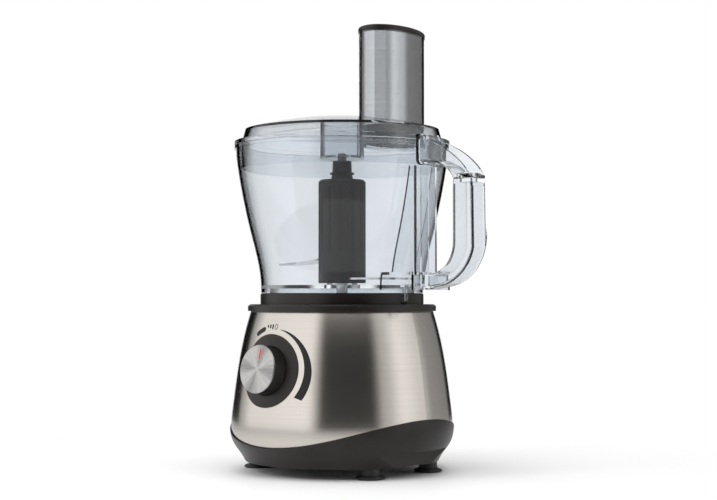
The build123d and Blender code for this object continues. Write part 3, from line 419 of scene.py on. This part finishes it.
def makeSurroundings():
    world = bpy.data.worlds.new("studio")
    bpy.context.scene.world = world
    world.use_nodes = True
    w = Wiring(world.node_tree)
    background = w.tree.nodes["Background"]
    top = room["brightest"]
    coords = w.add("ShaderNodeTexCoord").outputs["Generated"]
    turn = w.add("ShaderNodeMapping", Vector=coords, Rotation=(0, 0, math.radians(room["turn"])))
    wayRound = w.add("ShaderNodeTexGradient", gradient_type="RADIAL", Vector=turn.outputs[0]).outputs["Fac"]
    ramp = w.add("ShaderNodeValToRGB", Fac=wayRound)
    ramp.color_ramp.interpolation = "EASE"
    points = ramp.color_ramp.elements
    while len(points) > 1:
        points.remove(points[0])
    firstPlace, firstValue = room["around"][0]
    points[0].position = firstPlace
    points[0].color = (*grey(firstValue / top), 1)
    for place, value in room["around"][1:]:
        points.new(place).color = (*grey(value / top), 1)
    # overhead softbox
    split = w.add("ShaderNodeSeparateXYZ", Vector=coords)
    above = w.between(split.outputs["Z"], 0, 1, *room["overheadFrom"])
    around = w.blend(above, ramp.outputs["Color"], grey(room["overhead"]))
    # light that comes through clear plastic isn't dimmed by the dark front
    path = w.add("ShaderNodeLightPath")
    aside = w.math("ABSOLUTE", w.math("SUBTRACT", wayRound, room["darkMiddle"]))
    front = w.between(aside, 1.0, 0.0, *room["darkFade"])
    through = w.math("MULTIPLY", front, path.outputs["Is Transmission Ray"])
    w.put(w.blend(through, around, grey(room["throughPlastic"])), background.inputs["Color"])
    background.inputs["Strength"].default_value = top
    # what is seen directly is plain white
    plain = w.add("ShaderNodeBackground", Color=(1, 1, 1, 1))
    choose = w.add("ShaderNodeMixShader", Fac=path.outputs["Is Camera Ray"])
    w.put(background.outputs[0], choose.inputs[1])
    w.put(plain.outputs[0], choose.inputs[2])
    w.put(choose.outputs[0], w.tree.nodes["World Output"].inputs["Surface"])
    scene = bpy.context.scene
    scene.view_settings.view_transform = "Standard"
    scene.view_settings.look = "None"


def makeFloor():
    mesh = bpy.data.meshes.new("floor")
    shape = bmesh.new()
    bmesh.ops.create_circle(shape, cap_ends=True, segments=96, radius=ground["radius"])
    shape.to_mesh(mesh)
    shape.free()
    floor = bpy.data.objects.new("floor", mesh)
    bpy.context.scene.collection.objects.link(floor)
    floor.location.z = -ground["drop"]
    f = Finish("paleFloor", ground["color"], 0.6)
    soft = f.noise(f.coords, 3.0)
    f.color(f.blend(f.between(soft, 0, 1), *ground["shades"]))
    glow = f.add("ShaderNodeEmission", Color=(1, 1, 1, 1))
    far = f.add("ShaderNodeVectorMath", operation="LENGTH")
    f.put(f.coords, far.inputs[0])
    fade = f.between(far.outputs["Value"], 0, 1, *ground["fade"])
    inGloss = f.add("ShaderNodeLightPath").outputs["Is Glossy Ray"]
    f.put(f.between(inGloss, 1.0, ground["inGloss"], 0, 1), glow.inputs["Strength"])
    both = f.add("ShaderNodeMixShader", Fac=fade)
    f.put(f.shader.outputs[0], both.inputs[1])
    f.put(glow.outputs[0], both.inputs[2])
    f.put(both.outputs[0], f.tree.nodes["Material Output"].inputs["Surface"])
    mesh.materials.append(f.material)


def softBox(name, place, aim, size, power):
    light = bpy.data.lights.new(name, "AREA")
    light.shape = "RECTANGLE"
    light.size, light.size_y = size
    light.energy = power
    box = bpy.data.objects.new(name, light)
    box.location = place
    box.rotation_euler = (Vector(aim) - Vector(place)).to_track_quat("-Z", "Y").to_euler()
    box.visible_glossy = False
    box.visible_transmission = False
    bpy.context.scene.collection.objects.link(box)


makeSurroundings()
makeFloor()
for name, light in lights.items():
    softBox(name, **light)
print("room and lights made")


# prints on the steel round the dial
bezelLow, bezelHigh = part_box("dial_bezel")
dialMiddle = Vector((0, bezelLow.y + dial["behindBezel"], dial["height"]))
steelTree = bvhtree.BVHTree.FromObject(nodes["steel_wrap"], bpy.context.evaluated_depsgraph_get())


# a point beside the dial's axis, dropped on to the steel
def onSteel(side, up, lift):
    start = dialMiddle + dialRight * side + dialUp * up + dialOut * dial["reach"]
    hit = steelTree.ray_cast(start, -dialOut)
    return hit[0] + dialOut * lift


def finished(name, mesh, material, body):
    item = bpy.data.objects.new(name, mesh)
    bpy.context.scene.collection.objects.link(item)
    mesh.materials.append(material)
    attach(item, body)
    return item


# a strip between two lines of points, with its own small thickness
def inkStrip(name, inner, outer, material):
    mesh = bpy.data.meshes.new(name)
    shape = bmesh.new()
    sunk, lift = -dial["sunk"], dial["lift"]
    profile = ((0, sunk), (0, lift), (0.5, lift), (1, lift), (1, sunk))
    rows = []
    for a, b in zip(inner, outer):
        row = []
        for t, height in profile:
            row.append(shape.verts.new(onSteel(a[0] + (b[0] - a[0]) * t, a[1] + (b[1] - a[1]) * t, height)))
        rows.append(row)
    for first, second in zip(rows, rows[1:]):
        for i in range(len(profile) - 1):
            shape.faces.new((first[i], first[i + 1], second[i + 1], second[i]))
    bmesh.ops.recalc_face_normals(shape, faces=shape.faces)
    shape.to_mesh(mesh)
    shape.free()
    return finished(name, mesh, material, "base")


def polar(radius, degrees):
    a = math.radians(degrees)
    return radius * math.sin(a), radius * math.cos(a)


# arc that grows thicker clockwise
crescent = {
    "from": 13,
    "to": 125,
    "inner": 0.0369,
    "innerEnd": 0.0368,
    "outer": 0.0373,
    "outerEnd": 0.0438,
    "lean": 3,         # degrees that the outer end is cut back by
    "steps": 72,
}
pill = {"from": -35, "to": -15, "inner": 0.036, "outer": 0.0404, "steps": 48}
bars = {"at": (-10.5, -6, -1.5), "wide": 0.0017, "low": (0.0386, 0.0376, 0.0366), "high": 0.0408}
ring = {"at": 4.5, "radius": 0.0388, "wide": 0.0018, "tall": 0.0026, "line": 0.0006, "steps": 32}


def layCrescent(ink):
    inner, outer = [], []
    for i in range(crescent["steps"] + 1):
        t = i / crescent["steps"]
        angle = crescent["from"] + (crescent["to"] - crescent["from"]) * t
        inner.append(polar(crescent["inner"] + (crescent["innerEnd"] - crescent["inner"]) * t, angle))
        swell = crescent["outer"] + (crescent["outerEnd"] - crescent["outer"]) * math.sin(t * math.pi / 2)
        outer.append(polar(swell, angle - crescent["lean"] * t * t))
    inkStrip("dial_crescent", inner, outer, ink)


def layPill(ink):
    inner, outer = [], []
    middle = (pill["inner"] + pill["outer"]) / 2
    half = (pill["outer"] - pill["inner"]) / 2
    ends = math.degrees(half / middle)
    for i in range(pill["steps"] + 1):
        t = i / pill["steps"]
        angle = pill["from"] + (pill["to"] - pill["from"]) * t
        edge = min(angle - pill["from"], pill["to"] - angle) / ends
        width = half * math.sqrt(max(0.02, 1 - (1 - min(1, edge)) ** 2))
        inner.append(polar(middle - width, angle))
        outer.append(polar(middle + width, angle))
    inkStrip("pulse_mark", inner, outer, ink)


def layBars(ink):
    wide = math.degrees(bars["wide"] / 2 / bars["high"])
    for number, (angle, low) in enumerate(zip(bars["at"], bars["low"])):
        inner = [polar(low, angle - wide), polar(low, angle + wide)]
        outer = [polar(bars["high"], angle - wide), polar(bars["high"], angle + wide)]
        inkStrip(f"pulse_bar_{number + 1}", inner, outer, ink)


def layRing(ink):
    side, up = polar(ring["radius"], ring["at"])
    inner, outer = [], []
    for i in range(ring["steps"] + 1):
        a = 2 * math.pi * i / ring["steps"]
        for line, grow in ((inner, 0), (outer, ring["line"])):
            line.append((side + (ring["wide"] - ring["line"] + grow) * math.cos(a),
                         up + (ring["tall"] - ring["line"] + grow) * math.sin(a)))
    inkStrip("stop_ring", inner, outer, ink)


blackInk = paintedMark("blackInk", grey(0.004), 0.55)
layCrescent(blackInk)
layPill(blackInk)
layBars(blackInk)
layRing(blackInk)
print("dial prints laid")

bpy.context.view_layer.update()
